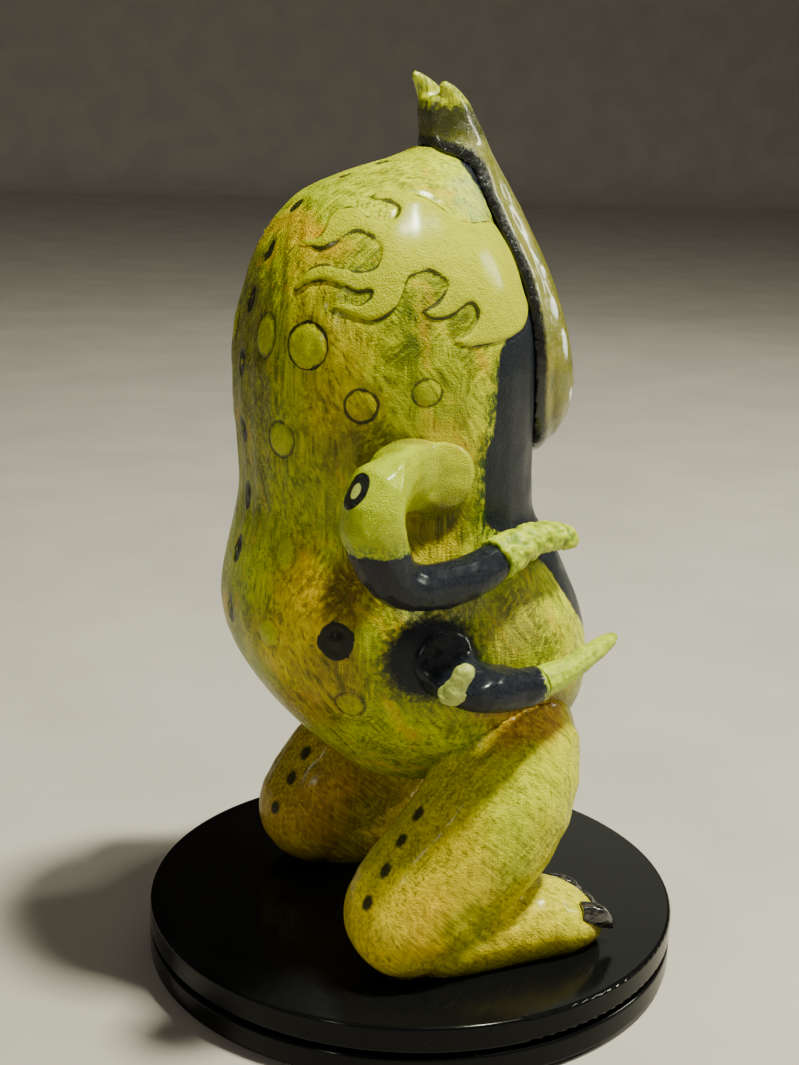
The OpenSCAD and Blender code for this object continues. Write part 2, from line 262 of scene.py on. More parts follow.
def mesh_arrays(mesh):
    """A mesh's points in millimetres in the figure's frame, and its faces."""
    co = np.zeros(len(mesh.vertices) * 3)
    mesh.vertices.foreach_get("co", co)
    return co.reshape(-1, 3) / MM - FIGURE_MIDDLE, [list(p.vertices) for p in mesh.polygons]


def node_mesh(node):
    return mesh_arrays(frame["nodes"][node].data)


def remeshed(node, voxel):
    """A CAD node's surface as an even mesh of small squares."""
    copy = linked("remesh_source", frame["nodes"][node].data.copy())
    modifier = copy.modifiers.new("remesh", "REMESH")
    modifier.mode = "VOXEL"
    modifier.voxel_size = voxel * MM
    bpy.context.view_layer.update()
    graph = bpy.context.evaluated_depsgraph_get()
    mesh = bpy.data.meshes.new_from_object(copy.evaluated_get(graph))
    points, faces = mesh_arrays(mesh)
    bpy.data.objects.remove(copy)
    bpy.data.meshes.remove(mesh)
    return points, faces


def outer_skin(node, voxel, rounds):
    """A CAD node's largest shell, remeshed and smoothed."""
    skin = Skin(*max(shells(*remeshed(node, voxel)), key=lambda shell: np.ptp(shell[0], axis=0).prod()))
    skin.smooth(rounds)
    return skin


def height_over(points, tree):
    """How far points stand off a closed surface, negative inside it."""
    height = np.zeros(len(points))
    for k, place in enumerate(points):
        near, normal, *_ = tree.find_nearest(Vector(place))
        height[k] = (Vector(place) - near).dot(normal)
    return height


# ---- materials

class Shader:
    """A material's node tree, with short calls for the nodes that the paints use."""

    SOCKETS = {"colour": "Base Color", "roughness": "Roughness", "metallic": "Metallic",
               "specular": "Specular IOR Level", "coat": "Coat Weight", "coat_roughness": "Coat Roughness",
               "subsurface": "Subsurface Weight", "subsurface_scale": "Subsurface Scale",
               "subsurface_radius": "Subsurface Radius"}

    def __init__(self, name):
        self.material = bpy.data.materials.new(name)
        self.material.use_nodes = True
        self.tree = self.material.node_tree
        self.bsdf = self.tree.nodes["Principled BSDF"]
        self.where = self.new("TexCoord", {}).outputs["Object"]

    def new(self, kind, inputs, **settings):
        node = self.tree.nodes.new("ShaderNode" + kind)
        for key, value in settings.items():
            setattr(node, key, value)
        for key, value in inputs.items():
            self.put(node.inputs[key], value)
        return node

    def put(self, socket, value):
        if isinstance(value, bpy.types.NodeSocket):
            self.tree.links.new(value, socket)
        else:
            socket.default_value = (*value, 1) if socket.type == "RGBA" else value

    def value(self, name):
        return self.new("Attribute", {}, attribute_name=name).outputs["Fac"]

    def colour(self, name):
        return self.new("Attribute", {}, attribute_name=name).outputs["Color"]

    def math(self, operation, a, b=0):
        return self.new("Math", {0: a, 1: b}, operation=operation).outputs[0]

    def times(self, a, b):
        return self.math("MULTIPLY", a, b)

    def step(self, value, low, high, to_low=0, to_high=1):
        """Goes smoothly from to_low at low to to_high at high."""
        inputs = dict(enumerate((value, low, high, to_low, to_high)))
        return self.new("MapRange", inputs, interpolation_type="SMOOTHSTEP").outputs[0]

    def mix(self, amount, a, b, blend="MIX"):
        inputs = {"Factor": amount, 6: a, 7: b}
        return self.new("Mix", inputs, data_type="RGBA", blend_type=blend).outputs[2]

    def lay(self, under, field, low, high, paint, strength=1):
        """Lays a paint over what is under it, more and more as a field goes from low to high."""
        return self.mix(self.times(self.step(field, low, high), strength), under, paint)

    def tinted(self, colour, tint, amount, paint):
        """A colour multiplied by a tint, then mixed towards a paint."""
        return self.mix(amount, self.mix(1.0, colour, tint, "MULTIPLY"), paint)

    def noise(self, size, detail=3.0, stretch=(1, 1, 1), turn=(0, 0, 0), roughness=0.55):
        """Noise whose lumps are about size millimetres across, longer along a stretched axis."""
        turned = self.new("Mapping", {"Vector": self.where, "Rotation": turn})
        scale = tuple(1 / (s * size) for s in stretch)
        scaled = self.new("Mapping", {"Vector": turned.outputs[0], "Scale": scale})
        inputs = {"Vector": scaled.outputs[0], "Scale": 1 / MM, "Detail": detail, "Roughness": roughness}
        return self.new("TexNoise", inputs).outputs["Fac"]

    def ragged(self, name, size, amount):
        """A painted distance with noise around zero added, which roughens its edge."""
        wobble = self.times(self.math("SUBTRACT", self.noise(size), 0.5), amount)
        return self.math("ADD", self.value(name), wobble)

    def bumps(self, *layers):
        """Stacks bump layers, each a height and its depth in millimetres."""
        normal = None
        for height, depth in layers:
            node = self.new("Bump", {"Height": height, "Distance": depth * MM})
            if normal is not None:
                self.put(node.inputs["Normal"], normal)
            normal = node.outputs[0]
        self.put(self.bsdf.inputs["Normal"], normal)

    def set(self, **values):
        for key, value in values.items():
            self.put(self.bsdf.inputs[self.SOCKETS[key]], value)


# Brush strokes are noise stretched this far, turned to lie across the figure in four ways.
STROKE = (1, 1, 22)
TURN_LEFT = (0, math.radians(38), 0)
TURN_RIGHT = (0, math.radians(-50), 0)
TURN_FLAT = (math.radians(20), math.radians(84), 0)
TURN_ROUND_LIMB = (0, math.radians(48), 0)


def brushed(s, base, light, dark, strength=1.0):
    """Crossing dry brush strokes, lighter and darker than the base."""
    mottling = s.noise(13)
    patches = s.noise(9, 2, turn=(0.4, 0.9, 0.2))
    blotches = s.noise(3.2, 5, (1, 1, 1.8), (0, 0.5, 0.3), 0.62)
    upright = s.noise(0.75, 3, STROKE)
    leaning = s.noise(0.8, 3, STROKE, TURN_LEFT)
    crossing = s.noise(0.7, 3, STROKE, TURN_RIGHT)
    flat = s.noise(0.9, 3, STROKE, TURN_FLAT)
    strokes = s.lay(upright, patches, 0.44, 0.56, leaning)
    strokes = s.lay(strokes, mottling, 0.5, 0.62, crossing)
    colour = base
    layers = ((mottling, 0.45, 0.7, dark, 0.45), (blotches, 0.5, 0.68, light, 0.5),
              (blotches, 0.48, 0.33, dark, 0.5), (strokes, 0.5, 0.66, light, 0.6),
              (strokes, 0.48, 0.34, dark, 0.65), (flat, 0.56, 0.7, light, 0.4))
    for field, low, high, paint, share in layers:
        colour = s.lay(colour, field, low, high, paint, share * strength)
    return colour, strokes, flat


def vinyl_finish(s, strokes, flat, roughness=0.33):
    """Satin paint over soft vinyl: brush relief, a fine grain and uneven sheen."""
    grain = s.noise(0.35, 2)
    lumps = s.noise(3.0, 2)
    s.set(roughness=s.step(s.noise(5), 0.3, 0.7, roughness - 0.07, roughness + 0.1), specular=0.12,
          subsurface=0.04, subsurface_scale=0.0015, subsurface_radius=(1.0, 0.8, 0.1),
          coat=0.26, coat_roughness=0.2)
    s.bumps((lumps, 0.22), (strokes, 0.14), (flat, 0.07), (grain, 0.38))


def body_paint():
    """Brushed lime and ochre with flames, ringed spots and the dark band."""
    s = Shader("painted_body")
    wash = s.colour("wash")
    light = s.tinted(wash, (1.7, 1.6, 1.0), 0.45, (0.62, 0.64, 0))
    dark = s.tinted(wash, (0.3, 0.32, 0.5), 0.5, (0.07, 0.075, 0))
    colour, strokes, flat = brushed(s, wash, light, dark, 1.15)
    smears = s.noise(5, 5, (1, 1, 3), (0, 0.6, 0.9), 0.62)
    colour = s.lay(colour, smears, 0.54, 0.68, ORANGE, 0.45)

    worn_yellow = s.lay(YELLOW, s.noise(0.9, 4, (1, 1, 9), TURN_LEFT), 0.45, 0.7, (0.4, 0.43, 0))
    colour = s.lay(colour, s.ragged("tongues", 1.6, 0.5), 0.2, -0.2, worn_yellow)
    line = s.math("ABSOLUTE", s.ragged("tongues", 2.5, 0.35))
    width = s.times(s.step(s.noise(5, 2), 0.4, 0.6, 0.02, 0.34), s.value("tongue_ink"))
    colour = s.lay(colour, s.math("SUBTRACT", line, width), 0.16, -0.14, OLIVE_INK, 0.88)

    spot = s.ragged("spot", 1.5, 0.35)
    inner = s.times(s.step(spot, -0.35, -0.9), s.value("spot_fill"))
    worn_pale = s.lay(PALE, s.noise(1.1, 4), 0.4, 0.62, (0.38, 0.42, 0))
    colour = s.mix(inner, colour, worn_pale)
    ring_width = s.value("spot_ink")
    uneven = s.step(s.noise(3.0, 2), 0.35, 0.6, 0.4, 1.25)
    uneven = s.math("MAXIMUM", uneven, s.step(ring_width, 1.0, 1.5))
    ring = s.math("SUBTRACT", s.math("ABSOLUTE", spot), s.times(ring_width, uneven))
    colour = s.lay(colour, ring, 0.14, -0.12, DOT_INK, s.value("ink_weight"))

    band = s.ragged("band", 1.3, 1.2)
    fringe = s.times(s.step(band, 3.4, 0.2), s.step(s.noise(1.0, 4, (1, 1, 2.6)), 0.42, 0.58))
    colour = s.mix(s.times(fringe, s.value("fringe")), colour, (0.025, 0.06, 0.004))
    navy = s.lay(NAVY, s.noise(0.9, 4, (1, 1, 5)), 0.52, 0.75, (0.012, 0.028, 0.016))
    colour = s.lay(colour, band, 0.3, -0.3, navy)
    patch = s.ragged("patch", 0.9, 2.6)
    smoke = s.times(s.step(patch, 5.0, 0.0), s.step(s.noise(1.2, 4), 0.4, 0.58))
    colour = s.mix(s.times(smoke, 0.85), colour, (0.03, 0.045, 0.004))
    colour = s.lay(colour, patch, 1.2, -1.0, navy)
    s.set(colour=colour)
    vinyl_finish(s, strokes, flat)
    return s.material


def leg_paint():
    """Yellow ochre with fine strokes round the limb and a row of dark dots."""
    s = Shader("painted_legs")
    wash = s.colour("wash")
    light = s.tinted(wash, (1.7, 1.6, 1.0), 0.45, (0.68, 0.6, 0))
    dark = s.tinted(wash, (0.32, 0.34, 0.5), 0.5, (0.09, 0.09, 0))
    colour, _, flat = brushed(s, wash, light, dark, 0.8)
    round_limb = s.noise(0.6, 3, STROKE, TURN_ROUND_LIMB)
    colour = s.lay(colour, round_limb, 0.5, 0.68, light, 0.6)
    colour = s.lay(colour, round_limb, 0.47, 0.33, dark, 0.5)
    colour = s.lay(colour, s.ragged("spot", 0.8, 0.9), 0.3, -0.4, (0.01, 0.011, 0.006), 0.94)
    s.set(colour=colour)
    vinyl_finish(s, round_limb, flat, 0.42)
    return s.material


def arm_paint():
    """Lime shoulder, navy forearm, with the two dry-brushed over each other."""
    s = Shader("painted_arms")
    wash = s.colour("wash")
    light = s.mix(0.5, wash, (0.54, 0.62, 0))
    dark = s.tinted(wash, (0.5, 0.55, 0.6), 0.5, OLIVE)
    colour, strokes, _ = brushed(s, wash, light, dark, 0.75)
    spot = s.ragged("spot", 1.4, 0.5)
    colour = s.lay(colour, spot, 2.2, 1.9, (0.006, 0.007, 0.006))
    colour = s.lay(colour, spot, 0.0, -0.35, (0.5, 0.56, 0.1))
    edge = s.ragged("navy", 1.1, 1.8)
    fringe = s.times(s.step(edge, 3.4, 0.3), s.step(s.noise(0.8), 0.42, 0.58))
    colour = s.mix(s.times(fringe, 0.8), colour, (0.04, 0.12, 0.004))
    navy = s.lay(NAVY, s.noise(0.6, 4), 0.56, 0.76, (0.01, 0.015, 0.034))
    colour = s.lay(colour, edge, 0.25, -0.25, navy)
    s.set(colour=colour, roughness=s.step(s.noise(1.5), 0.35, 0.65, 0.2, 0.32), specular=0.12,
          coat=0.4, coat_roughness=0.22)
    s.bumps((s.noise(2.5, 2), 0.22), (strokes, 0.08), (s.noise(0.3, 2), 0.5))
    return s.material


def tip_paint():
    """Coarse sculpted ends, washed green and dry-brushed pale yellow."""
    s = Shader("sculpted_tips")
    hollow = s.value("hollow")
    base = s.lay((0.42, 0.5, 0), s.noise(1.4), 0.4, 0.65, (0.28, 0.38, 0))
    base = s.lay(base, hollow, -0.05, 0.5, (0.5, 0.58, 0))
    base = s.mix(s.value("chalk"), base, (0.42, 0.46, 0.12))
    colour = s.lay(base, hollow, 0.0, -0.5, (0.13, 0.22, 0), 0.8)
    colour = s.lay(colour, s.ragged("navy", 0.8, 2.5), 0.8, -0.6, (0.02, 0.06, 0.006), 0.9)
    s.set(colour=colour, roughness=0.38, specular=0.4)
    s.bumps((s.noise(0.8), 0.25), (s.noise(0.28, 2), 0.08))
    return s.material


def shield_paint():
    """Semi-gloss olive brown with white marks, a dark rim and a yellow horn tip."""
    s = Shader("painted_shield")
    streaks = s.noise(0.8, 4, (1, 1, 14), (0, math.radians(-18), 0))
    colour = s.lay(SHIELD_OLIVE, s.noise(7), 0.4, 0.65, (0.22, 0.19, 0.02))
    colour = s.lay(colour, streaks, 0.5, 0.7, (0.3, 0.29, 0.04), 0.6)
    colour = s.lay(colour, s.noise(4, 3, (1, 1, 3)), 0.55, 0.7, (0.035, 0.06, 0.006), 0.6)
    colour = s.lay(colour, s.ragged("rim", 1.0, 1.2), 2.8, 1.7, (0.006, 0.006, 0.005))
    colour = s.lay(colour, s.ragged("spot", 0.8, 0.4), 0.2, -0.25, (0.78, 0.8, 0.74))
    colour = s.lay(colour, s.ragged("tip", 3.0, 6.0), 9.0, 3.0, (0.02, 0.024, 0.004), 0.85)
    bright = s.lay((0.56, 0.58, 0.01), s.noise(0.7, 3, (1, 1, 5)), 0.42, 0.6, (0.2, 0.23, 0))
    colour = s.lay(colour, s.ragged("tip", 1.2, 5.0), 0.8, -1.2, bright)
    s.set(colour=colour, roughness=s.step(s.noise(1.2), 0.35, 0.65, 0.2, 0.34), specular=0.5,
          coat=0.5, coat_roughness=0.13)
    s.bumps((s.noise(2.2, 2), 0.25), (streaks, 0.12), (s.noise(0.3, 2), 0.14))
    return s.material


def claw_paint():
    s = Shader("claw_gloss")
    colour = s.lay((0.008, 0.008, 0.01), s.noise(0.8, 3, (3, 1, 1)), 0.45, 0.7, (0.06, 0.05, 0.035))
    s.set(colour=colour, roughness=s.step(s.noise(0.7), 0.35, 0.65, 0.12, 0.3), coat=0.5, coat_roughness=0.1)
    s.bumps((s.noise(0.9, 3, (3, 1, 1)), 0.12))
    return s.material


def black_gloss():
    """Polished black plastic with faint hairlines and dust."""
    s = Shader("polished_black")
    hairlines = s.noise(0.5, 3, (14, 1, 1), (0, 0, 0.6))
    dust = s.noise(0.35, 2)
    colour = s.lay((0.0035, 0.0035, 0.004), dust, 0.7, 0.76, (0.12, 0.12, 0.11), 0.35)
    s.set(colour=colour, roughness=s.step(s.noise(9), 0.35, 0.65, 0.1, 0.18), specular=0.11)
    s.bumps((hairlines, 0.004), (s.noise(11, 2), 0.02))
    return s.material


# Darker and lighter colour of the stand's hidden materials
STEELS = (0.52, 0.52, 0.53), (0.62, 0.62, 0.62)
CREAMS = (0.66, 0.65, 0.58), (0.72, 0.71, 0.66)
BLACKS = (0.02, 0.02, 0.02), (0.035, 0.035, 0.034)


def plain_paint(name, size, colours, roughness, grain, depth, metallic=0):
    """A bare material, barely mottled, with a fine grain."""
    s = Shader(name)
    colour = s.lay(colours[0], s.noise(size), 0.4, 0.6, colours[1])
    s.set(colour=colour, roughness=s.step(s.noise(0.6), 0.3, 0.7, *roughness), metallic=metallic)
    s.bumps((s.noise(*grain), depth))
    return s.material


# ---- body

# Paint is laid out on a flat pattern for each side, seen from a little behind: along the pattern and up.
PATTERN_TURN = math.radians(23.5)


def pattern(points):
    """Each point's place on the side pattern, in millimetres."""
    along = points[:, 0] * math.cos(PATTERN_TURN) + np.abs(points[:, 1]) * math.sin(PATTERN_TURN)
    return np.stack([along, points[:, 2]], 1)


# Flame edge: down its front, back along the lower tongues, and forward over the top
FLAME = [
    (11, 165.5), (13.5, 161.5), (15.5, 157), (16.5, 153.5), (17.5, 150), (16, 147), (12.5, 145.5),
    (9, 145), (7, 144.8), (4.5, 145), (2, 146.5), (4.5, 146.7), (6, 148), (7, 150), (6.5, 152), (5, 153),
    (3, 151.5), (1, 150.5), (-1.5, 150.3), (-3.5, 151.5), (-1, 153), (0.5, 155), (1, 156.5), (-1, 158.2),
    (-3, 159), (-6, 158), (-7.2, 156), (-8, 153.5), (-9.5, 151.5), (-12.5, 150), (-15.5, 150.3),
    (-18.5, 151.3), (-21, 152.2), (-18, 152.8), (-15.5, 152.6), (-13.6, 153.8), (-13.2, 155.4),
    (-16, 155), (-19, 156), (-22, 156.6), (-25, 156), (-28, 154.2), (-26.5, 157), (-24, 159),
    (-22, 159.5), (-18.5, 159), (-15, 158.5), (-12.5, 159.5), (-11.5, 161.5), (-12, 163.5), (-14, 165),
    (-16.5, 165.5), (-19, 164.5), (-21, 163), (-23.5, 162.2), (-27.5, 163.2), (-24.5, 163.7),
    (-22.5, 165.5), (-21.5, 168), (-19, 169.5), (-16.5, 169.5), (-14, 168), (-10.5, 167.5), (-9, 168.4),
    (-8.5, 170), (-10.5, 171), (-14, 171.6), (-11.5, 172.4), (-8, 172.6), (-3.5, 171.5), (0, 169.5),
    (2.5, 167.8), (5.5, 167), (9, 167)]

# Spots on the body: place (x, y, z), radius across, height over width, ring half width, fill, ink strength
BODY_SPOTS = [
    ((-13.2, 0, 177.3), 1, 0.7, 0.5, 0.7, 0.9), ((-21.2, 0, 174.7), 1, 0.7, 0.5, 0.7, 0.9),
    ((-31.5, 0, 169.3), 1, 1.2, 0.6, 0.7, 0.95), ((-37.5, 0, 160.8), 1.1, 1.5, 0.7, 0.7, 0.95),
    ((-41, 0, 151.4), 1.1, 1.6, 0.7, 0.7, 0.95), ((-42.6, 0, 138.6), 1.1, 1.6, 0.7, 0.7, 0.95),
    ((-42.4, 0, 125), 1.1, 1.6, 0.7, 0.7, 0.95), ((-41.5, 0, 111.8), 1.1, 1.7, 0.8, 0.4, 0.95),
    ((-43.7, 0, 100.3), 1.1, 1.6, 0.8, 0.4, 0.95), ((-45, 0, 87.6), 1.1, 1.6, 0.8, 0.4, 0.95),
    ((-42, -9.5, 145.5), 3.6, 1.35, 0.22, 0.75, 0.6), ((-36.6, -20.1, 144.6), 4.5, 1, 0.34, 0.9, 0.95),
    ((-28, -27.4, 133.9), 3.2, 1, 0.28, 0.12, 0.85), ((-15.9, -30.8, 136.4), 3, 0.9, 0.26, 0.2, 0.75),
    ((-39.5, -14.5, 125.6), 3.4, 1.05, 0.26, 0.8, 0.75),
    ((-38.9, -15.8, 103.2), 2.5, 1.6, 0.15, 0.9, 0.3), ((-42.2, -14.8, 86.5), 3, 1.1, 0.15, 1, 0.4),
    ((-28.5, -25.4, 73.5), 3.1, 1, 0.24, 0.45, 0.6), ((-32.1, -26.4, 87.3), 1.9, 1.1, 1.7, 1, 1)]

# Front edge of the dark band: up the head as (z, place along the pattern), and below it as (z, half width)
BAND_ON_HEAD = [
    (104, 10), (110, 10), (118, 9.3), (124.5, 9.6), (127, 11), (143, 11.4), (145.5, 13), (147, 16.4),
    (150, 17.9), (153.5, 16.9), (157, 15.9), (161.5, 13.9), (165.5, 11.4), (168, 9.8), (172, 7.5),
    (176, 4.5), (181, 1)]
BAND_ON_BELLY = [
    (62, -6), (68, 3), (74, 10), (80, 16.5), (85, 20.5), (92, 22.8), (99, 23.5), (104, 25), (110, 27),
    (114, 28)]

# Colour washes: place on the pattern, reach along it and up, colour, strength
WASHES = [
    ((-7, 173), (26, 9), LIME, 1), ((-22, 171), (9, 6), GREEN_LIME, 0.7),
    ((7, 172), (6, 5), (0.42, 0.52, 0.14), 0.9), ((-24, 163.5), (7, 4), (0.86, 0.46, 0), 0.95),
    ((-26, 157), (6, 7), OCHRE, 0.9), ((-31, 150), (5, 14), OLIVE, 0.8), ((-20, 146), (8, 6), OCHRE, 0.7),
    ((-5.5, 146), (3, 8), DARK_GREEN, 0.9), ((1, 139), (10, 9), OLIVE, 0.8),
    ((-20, 132), (10, 10), OCHRE, 0.8), ((-31, 128), (6, 16), OLIVE, 0.8),
    ((-37, 140), (4, 30), (0.12, 0.11, 0.012), 0.8), ((8, 131), (3, 18), LIME, 0.75),
    ((1, 127), (7, 4), OCHRE, 0.8), ((-11, 126), (13, 5), (0.15, 0.12, 0.01), 0.75),
    ((-22, 117), (4, 12), OLIVE, 0.7), ((-1, 120), (9, 7), LIME, 0.95),
    ((3, 111), (6, 7), (0.16, 0.13, 0.01), 0.8), ((0, 105), (8, 5), OCHRE, 0.8),
    ((-37, 99), (5, 9), GREEN_LIME, 0.8), ((-33, 97), (4, 7), LIME, 0.5),
    ((-25, 95), (7, 10), ORANGE, 0.75), ((-17, 95), (4.5, 9), BROWN, 0.95),
    ((-9, 97), (5, 6), BROWN, 0.7), ((-30, 85), (8, 8), OCHRE, 0.9),
    ((-20, 80), (8, 8), (0.3, 0.2, 0.004), 0.8), ((-24, 71), (10, 6), (0.34, 0.22, 0.004), 0.8),
    ((-8, 68), (10, 6), GREEN_LIME, 0.6), ((-4, 60), (14, 6), OLIVE, 0.8),
    ((2, 93.5), (9, 3.5), CREAM, 0.95), ((17, 88), (8, 7), (0.3, 0.27, 0.04), 0.8),
    ((28, 92), (7, 8), LIME, 0.95), ((31, 82), (6, 8), (0.52, 0.52, 0), 0.9),
    ((21, 67), (10, 5.5), (0.34, 0.15, 0.004), 0.95), ((12, 72), (5, 4), (0.28, 0.15, 0.01), 0.8),
    ((10, 78), (9, 4), (0.2, 0.19, 0.01), 0.8), ((6, 63), (8, 4), GREEN_LIME, 0.7)]

ROWS_STEP = 0.6
RING_POINTS = 384
RAY_REACH = 120.0

# Rays stay this far from the gap between the two shells.
WAIST_MARGIN = 0.25

# The shoulder pads lie within this distance of a shoulder's axis, away from front and back.
PAD_RADIUS, PAD_SIDEWAYS, PAD_ROUNDS = 9.5, 0.8, 300

# Each cap is three rings, at these shares of the end ring, about a middle point.
CAP_RINGS = (0.85, 0.6, 0.3)
WAIST_DISH = 0.8

# The round navy patch around the lower shoulder: centre (x, z), radius, width over height
PATCH_PLACE, PATCH_RADIUS, PATCH_WIDTH = (-14.0, 83.7), 8.2, 1.12


def body_grid():
    """Both body shells as one fine grid of rings, read off the CAD shells by rays from outside."""
    trees = {name: BVHTree.FromPolygons(*node_mesh(name)) for name in ("head_shell", "torso_shell")}

    def hit(z, start, direction):
        if z > WAIST[2]:
            tree, level = trees["head_shell"], max(z, WAIST[2] + WAIST_MARGIN)
        else:
            tree, level = trees["torso_shell"], min(z, WAIST[2] - WAIST_MARGIN)
        place, *_ = tree.ray_cast(Vector((start[0], start[1], level)), Vector(direction))
        return None if place is None else np.array(place)

    low = node_mesh("torso_shell")[0][:, 2].min() + 0.05
    high = node_mesh("head_shell")[0][:, 2].max() - 0.05
    coarse = np.linspace(low, high, 500)
    outline = np.array([[hit(z, (-RAY_REACH, 0.0), (1, 0, 0))[0], hit(z, (RAY_REACH, 0.0), (-1, 0, 0))[0]]
                        for z in coarse])
    travel = np.abs(np.diff(outline, axis=0)).max(1)
    length = np.concatenate([[0], np.cumsum(np.maximum(travel, np.diff(coarse)))])
    rows = np.interp(np.linspace(0, length[-1], int(length[-1] / ROWS_STEP)), length, coarse)
    centre = np.interp(rows, coarse, gaussian_rows(outline.mean(1)[:, None], 6, False)[:, 0])

    angles = np.linspace(0, 2 * math.pi, RING_POINTS, endpoint=False)
    radius = np.zeros((len(rows), RING_POINTS))
    for r, z in enumerate(rows):
        for k, a in enumerate(angles):
            direction = np.array([math.cos(a), math.sin(a), 0])
            start = np.array([centre[r], 0, 0]) + direction * RAY_REACH
            place = hit(z, start, tuple(-direction))
            radius[r, k] = 0.5 if place is None else math.hypot(place[0] - centre[r], place[1])

    # The shoulder pads are taken out and the skin closes smoothly over them.
    x = centre[:, None] + radius * np.cos(angles)
    z = np.repeat(rows[:, None], RING_POINTS, 1)
    pads = np.zeros_like(radius, bool)
    for shoulder in (UPPER_SHOULDER, LOWER_SHOULDER):
        close = np.hypot(x - shoulder[0], z - shoulder[2]) < PAD_RADIUS
        pads |= close & (np.abs(np.cos(angles))[None] < PAD_SIDEWAYS)
    filled = radius.copy()
    filled[pads] = np.nan
    for r in range(len(rows)):
        gone = np.isnan(filled[r])
        if gone.any():
            filled[r, gone] = np.interp(np.flatnonzero(gone), np.flatnonzero(~gone), filled[r, ~gone])
    for _ in range(PAD_ROUNDS):
        total = sum(np.roll(filled, way, axis) for axis in (1, 0) for way in (1, -1))
        filled[pads] = total[pads] / 4
    filled = gaussian_rows(filled, 2.2, False)
    filled = gaussian_rows(filled.T, 2.5, True).T
    points = np.stack([centre[:, None] + filled * np.cos(angles), filled * np.sin(angles), z], 2)
    return rows, points


def grid_faces(count, rows):
    """Squares between rings of so many points."""
    square = ((0, 0), (0, 1), (1, 1), (1, 0))
    return [[(r + up) * count + (k + on) % count for up, on in square]
            for r in range(rows - 1) for k in range(count)]


def closed_part(grid, dish_below=0.0, dish_above=0.0):
    """A stack of rings closed at both ends by caps, each flat or dished into the part by a depth."""
    count = grid.shape[1]
    bottom_dish, top_dish = np.array([0, 0, dish_below]), np.array([0, 0, -dish_above])
    ends = []
    for ring, order, dish in ((grid[0], CAP_RINGS[::-1], bottom_dish), (grid[-1], CAP_RINGS, top_dish)):
        middle = ring.mean(0)
        ends.append([middle + (ring - middle) * share + dish for share in order])
    rings = np.concatenate([np.array(ends[0]), grid, np.array(ends[1])])
    bottom = len(rings) * count
    middles = [grid[0].mean(0) + bottom_dish, grid[-1].mean(0) + top_dish]
    points = np.vstack([rings.reshape(-1, 3), *middles])
    faces = grid_faces(count, len(rings))
    last = bottom - count
    for k in range(count):
        n = (k + 1) % count
        faces.append([n, k, bottom])
        faces.append([last + k, last + n, bottom + 1])
    return points, faces


def spot_values(points, spots):
    """Signed distance to the nearest spot, and that spot's ring width, fill and ink strength."""
    best = np.full(len(points), SPOTS_FAR)
    ink = np.zeros(len(points))
    fill = np.zeros(len(points))
    weight = np.zeros(len(points))
    for place, r, tall, ring, filled, strength in spots:
        gap = on_right(points) - np.array(place)
        flat = np.hypot(gap[:, 0], gap[:, 1])
        d = np.sqrt(flat**2 + (gap[:, 2] / tall) ** 2) - r
        nearer = d < best
        best = np.where(nearer, d, best)
        ink[nearer] = ring
        fill[nearer] = filled
        weight[nearer] = strength
    return best, ink, fill, weight


def washed(points, flat, washes, base):
    """Lays soft-edged washes over each other."""
    warp = np.stack([noise(points, 5, 3), noise(points, 5, 4)], 1) * 2.2
    place = flat + warp
    colour = np.repeat(np.array([base], float), len(points), 0)
    for middle, reach, paint, strength in washes:
        d = np.hypot((place[:, 0] - middle[0]) / reach[0], (place[:, 1] - middle[1]) / reach[1])
        amount = strength * smoothstep(d, 1.35, 0.45)
        colour += (np.array(paint) - colour) * amount[:, None]
    return colour


def along_table(heights, table):
    z, value = np.array(table, float).T
    return np.interp(heights, z, value)


def paint_body(skin):
    points = skin.points
    height = points[:, 2]
    flat = pattern(points)
    flame = np.full(len(points), FAR)
    near = (height > 140) & (height < 178)
    outline = curve_through(FLAME, 4)
    flame[near] = np.minimum(distance_to_outline(flat[near], outline), FAR)
    spot, ink, fill, weight = spot_values(points, BODY_SPOTS)
    on_head = along_table(height, BAND_ON_HEAD) - flat[:, 0]
    on_belly = np.abs(points[:, 1]) - along_table(height, BAND_ON_BELLY)
    on_belly = np.where(points[:, 0] > -8, on_belly, FAR)
    share = smoothstep(height, 106, 112)
    band = on_belly * (1 - share) + on_head * share
    patch = np.hypot((points[:, 0] - PATCH_PLACE[0]) / PATCH_WIDTH, height - PATCH_PLACE[1]) - PATCH_RADIUS
    skin.values = {"tongues": flame, "tongue_ink": smoothstep(flat[:, 0], 13, 9),
                   "spot": spot, "spot_ink": ink, "spot_fill": fill, "ink_weight": weight,
                   "band": np.clip(band, -FAR, FAR),
                   "patch": np.where(np.abs(points[:, 1]) > 15, patch, FAR),
                   "fringe": smoothstep(height, 145, 138) * smoothstep(height, 98, 104)}
    skin.colours = {"wash": washed(points, flat, WASHES, OLIVE)}

    raised = 0.35 * smoothstep(flame, 0.5, -0.5) - 0.3 * np.exp(-((flame - 0.3) / 0.45) ** 2)
    ringed = 0.2 * np.minimum(ink * 4, 1) * np.exp(-(spot / 0.5) ** 2)
    domed = 0.3 * fill * smoothstep(spot, 0.2, -2.0) - ringed
    fluted = 0.1 * np.sin(flat[:, 0] * 1.9 + 1.5 * noise(points, 9, 8)) * smoothstep(flat[:, 0], -18, -28)
    lumps = 0.22 * noise(points, 11, 1) + 0.12 * noise(points, 4.5, 2)
    skin.push(raised + domed + fluted * smoothstep(height, 100, 110) + lumps)


